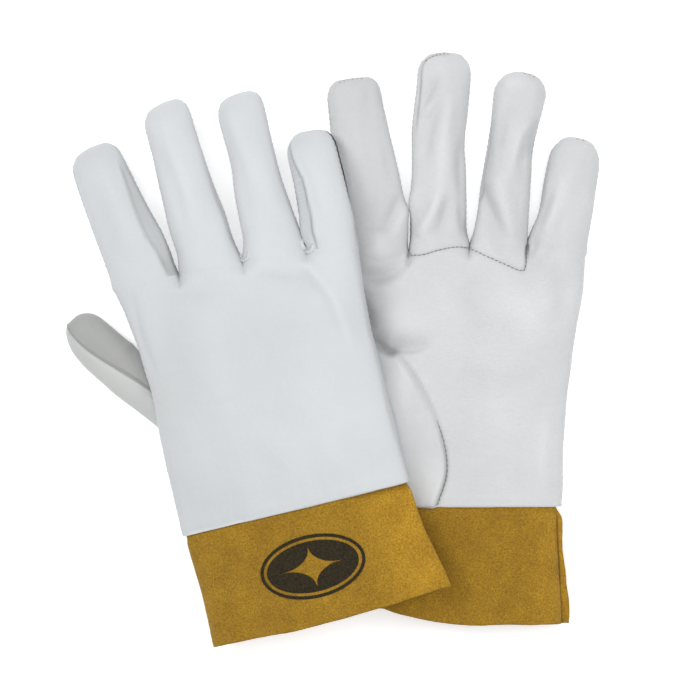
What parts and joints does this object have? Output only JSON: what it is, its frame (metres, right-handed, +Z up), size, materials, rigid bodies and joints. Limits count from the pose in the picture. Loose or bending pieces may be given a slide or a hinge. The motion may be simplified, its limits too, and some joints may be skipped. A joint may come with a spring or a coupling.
{
  "type": "leather welding gloves",
  "caption": "Leather welding gloves with suede band cuffs lying flat, the back-up glove resting on the palm-up glove; fingers and thumbs fold and the upper glove lifts off.",
  "frame": {"origin": "middle of the pair's footprint, on the surface it rests on", "axes": "+Y towards the fingertips of the lower glove, +X towards its little finger, +Z up"},
  "size_m": [0.262, 0.288, 0.039],
  "materials": {
    "back_leather": "smooth grain, matt",
    "palm_leather": "smooth grain, matt",
    "thumb_leather": "smooth grain, matt",
    "cuff_suede": "split suede",
    "thread": "twisted thread",
    "ink": "printed ink"
  },
  "bodies": {
    "right_hand": {"right_hand_back": "back_leather", "right_palm": "palm_leather", "right_thumb_wing": "thumb_leather", "right_middle_front_root": "palm_leather", "right_ring_front_root": "palm_leather", "right_cuff": "cuff_suede", "right_threads": "thread", "right_cuff_mark": "ink"},
    "right_index_lower": {"right_index_back_lower": "back_leather", "right_index_front_lower": "palm_leather"},
    "right_index_upper": {"right_index_back_upper": "back_leather", "right_index_front_upper": "palm_leather"},
    "right_middle_lower": {"right_middle_back_lower": "back_leather", "right_middle_front_lower": "palm_leather"},
    "right_middle_upper": {"right_middle_back_upper": "back_leather", "right_middle_front_upper": "palm_leather"},
    "right_ring_lower": {"right_ring_back_lower": "back_leather", "right_ring_front_lower": "palm_leather"},
    "right_ring_upper": {"right_ring_back_upper": "back_leather", "right_ring_front_upper": "palm_leather"},
    "right_little_lower": {"right_little_back_lower": "back_leather", "right_little_front_lower": "palm_leather"},
    "right_little_upper": {"right_little_back_upper": "back_leather", "right_little_front_upper": "palm_leather"},
    "right_thumb_lower": {"right_thumb_back_lower": "thumb_leather", "right_thumb_front_lower": "thumb_leather"},
    "right_thumb_upper": {"right_thumb_back_upper": "thumb_leather", "right_thumb_front_upper": "thumb_leather"},
    "left_hand": {"left_hand_back": "back_leather", "left_palm": "palm_leather", "left_thumb_wing": "thumb_leather", "left_middle_front_root": "palm_leather", "left_ring_front_root": "palm_leather", "left_cuff": "cuff_suede", "left_threads": "thread"},
    "left_index_lower": {"left_index_back_lower": "back_leather", "left_index_front_lower": "palm_leather"},
    "left_index_upper": {"left_index_back_upper": "back_leather", "left_index_front_upper": "palm_leather"},
    "left_middle_lower": {"left_middle_back_lower": "back_leather", "left_middle_front_lower": "palm_leather"},
    "left_middle_upper": {"left_middle_back_upper": "back_leather", "left_middle_front_upper": "palm_leather"},
    "left_ring_lower": {"left_ring_back_lower": "back_leather", "left_ring_front_lower": "palm_leather"},
    "left_ring_upper": {"left_ring_back_upper": "back_leather", "left_ring_front_upper": "palm_leather"},
    "left_little_lower": {"left_little_back_lower": "back_leather", "left_little_front_lower": "palm_leather"},
    "left_little_upper": {"left_little_back_upper": "back_leather", "left_little_front_upper": "palm_leather"},
    "left_thumb_lower": {"left_thumb_back_lower": "thumb_leather", "left_thumb_front_lower": "thumb_leather"},
    "left_thumb_upper": {"left_thumb_back_upper": "thumb_leather", "left_thumb_front_upper": "thumb_leather"}
  },
  "joints": [
    {"name": "right_glove_lift", "type": "slide", "parent": "left_hand", "child": "right_hand", "axis": [0, 0, 1], "range_m": [0, 0.16]},
    {"name": "right_index_knuckle", "type": "hinge", "parent": "right_hand", "child": "right_index_lower", "pos_m": [-0.09248, 0.04274, 0.01683], "axis": [-0.9183, -0.3823, -0.1034], "range_deg": [0, 75], "stiffness_Nm_per_rad": 0.04},
    {"name": "right_index_middle_joint", "type": "hinge", "parent": "right_index_lower", "child": "right_index_upper", "pos_m": [-0.10171, 0.06552, 0.01456], "axis": [-0.9183, -0.3823, -0.1034], "range_deg": [0, 75], "stiffness_Nm_per_rad": 0.04},
    {"name": "right_middle_knuckle", "type": "hinge", "parent": "right_hand", "child": "right_middle_lower", "pos_m": [-0.06015, 0.05035, 0.02034], "axis": [-0.9556, -0.2756, -0.1045], "range_deg": [0, 75], "stiffness_Nm_per_rad": 0.04},
    {"name": "right_middle_middle_joint", "type": "hinge", "parent": "right_middle_lower", "child": "right_middle_upper", "pos_m": [-0.0688, 0.07928, 0.01782], "axis": [-0.9556, -0.2756, -0.1045], "range_deg": [0, 75], "stiffness_Nm_per_rad": 0.04},
    {"name": "right_ring_knuckle", "type": "hinge", "parent": "right_hand", "child": "right_ring_lower", "pos_m": [-0.02882, 0.05609, 0.02363], "axis": [-0.9665, -0.2345, -0.1045], "range_deg": [0, 75], "stiffness_Nm_per_rad": 0.04},
    {"name": "right_ring_middle_joint", "type": "hinge", "parent": "right_ring_lower", "child": "right_ring_upper", "pos_m": [-0.03581, 0.08384, 0.02083], "axis": [-0.9665, -0.2345, -0.1045], "range_deg": [0, 75], "stiffness_Nm_per_rad": 0.04},
    {"name": "right_little_knuckle", "type": "hinge", "parent": "right_hand", "child": "right_little_lower", "pos_m": [0.00009, 0.05787, 0.02657], "axis": [-0.9754, -0.194, -0.1044], "range_deg": [0, 4], "stiffness_Nm_per_rad": 0.04},
    {"name": "right_little_middle_joint", "type": "hinge", "parent": "right_little_lower", "child": "right_little_upper", "pos_m": [-0.00347, 0.07709, 0.02412], "axis": [-0.9754, -0.194, -0.1044], "range_deg": [0, 8], "stiffness_Nm_per_rad": 0.04},
    {"name": "right_thumb_base", "type": "hinge", "parent": "right_hand", "child": "right_thumb_lower", "pos_m": [-0.07984, -0.04332, 0.00826], "axis": [0, 0, 1], "range_deg": [0, 25], "stiffness_Nm_per_rad": 0.04},
    {"name": "right_thumb_middle_joint", "type": "hinge", "parent": "right_thumb_lower", "child": "right_thumb_upper", "pos_m": [-0.10014, -0.00079, 0.00894], "axis": [0.1013, 0.0256, -0.9945], "range_deg": [0, 35], "stiffness_Nm_per_rad": 0.04},
    {"name": "left_index_knuckle", "type": "hinge", "parent": "left_hand", "child": "left_index_lower", "pos_m": [0.02273, 0.05652, 0.01365], "axis": [0.9914, 0.1312, 0], "range_deg": [0, 4], "stiffness_Nm_per_rad": 0.04},
    {"name": "left_index_middle_joint", "type": "hinge", "parent": "left_index_lower", "child": "left_index_upper", "pos_m": [0.01955, 0.08738, 0.0143], "axis": [0.9914, 0.1312, 0], "range_deg": [0, 18], "stiffness_Nm_per_rad": 0.04},
    {"name": "left_middle_knuckle", "type": "hinge", "parent": "left_hand", "child": "left_middle_lower", "pos_m": [0.05292, 0.06053, 0.01365], "axis": [0.9999, -0.0169, 0], "range_deg": [0, 75], "stiffness_Nm_per_rad": 0.04},
    {"name": "left_middle_middle_joint", "type": "hinge", "parent": "left_middle_lower", "child": "left_middle_upper", "pos_m": [0.0528, 0.09496, 0.01452], "axis": [0.9999, -0.0169, 0], "range_deg": [0, 75], "stiffness_Nm_per_rad": 0.04},
    {"name": "left_ring_knuckle", "type": "hinge", "parent": "left_hand", "child": "left_ring_lower", "pos_m": [0.08299, 0.06248, 0.01367], "axis": [0.9936, -0.1125, 0], "range_deg": [0, 75], "stiffness_Nm_per_rad": 0.04},
    {"name": "left_ring_middle_joint", "type": "hinge", "parent": "left_ring_lower", "child": "left_ring_upper", "pos_m": [0.08596, 0.09159, 0.01453], "axis": [0.9936, -0.1125, 0], "range_deg": [0, 75], "stiffness_Nm_per_rad": 0.04},
    {"name": "left_little_knuckle", "type": "hinge", "parent": "left_hand", "child": "left_little_lower", "pos_m": [0.11194, 0.05779, 0.01368], "axis": [0.9845, -0.1754, 0], "range_deg": [0, 75], "stiffness_Nm_per_rad": 0.04},
    {"name": "left_little_middle_joint", "type": "hinge", "parent": "left_little_lower", "child": "left_little_upper", "pos_m": [0.11559, 0.07568, 0.01431], "axis": [0.9845, -0.1754, 0], "range_deg": [0, 75], "stiffness_Nm_per_rad": 0.04},
    {"name": "left_thumb_base", "type": "hinge", "parent": "left_hand", "child": "left_thumb_lower", "pos_m": [-0.00587, -0.02798, 0.0089], "axis": [0, 0, 1], "range_deg": [0, 10], "stiffness_Nm_per_rad": 0.04},
    {"name": "left_thumb_middle_joint", "type": "hinge", "parent": "left_thumb_lower", "child": "left_thumb_upper", "pos_m": [-0.01269, 0.01573, 0.0085], "axis": [0, 0, -1], "range_deg": [0, 35], "stiffness_Nm_per_rad": 0.04}
  ]
}
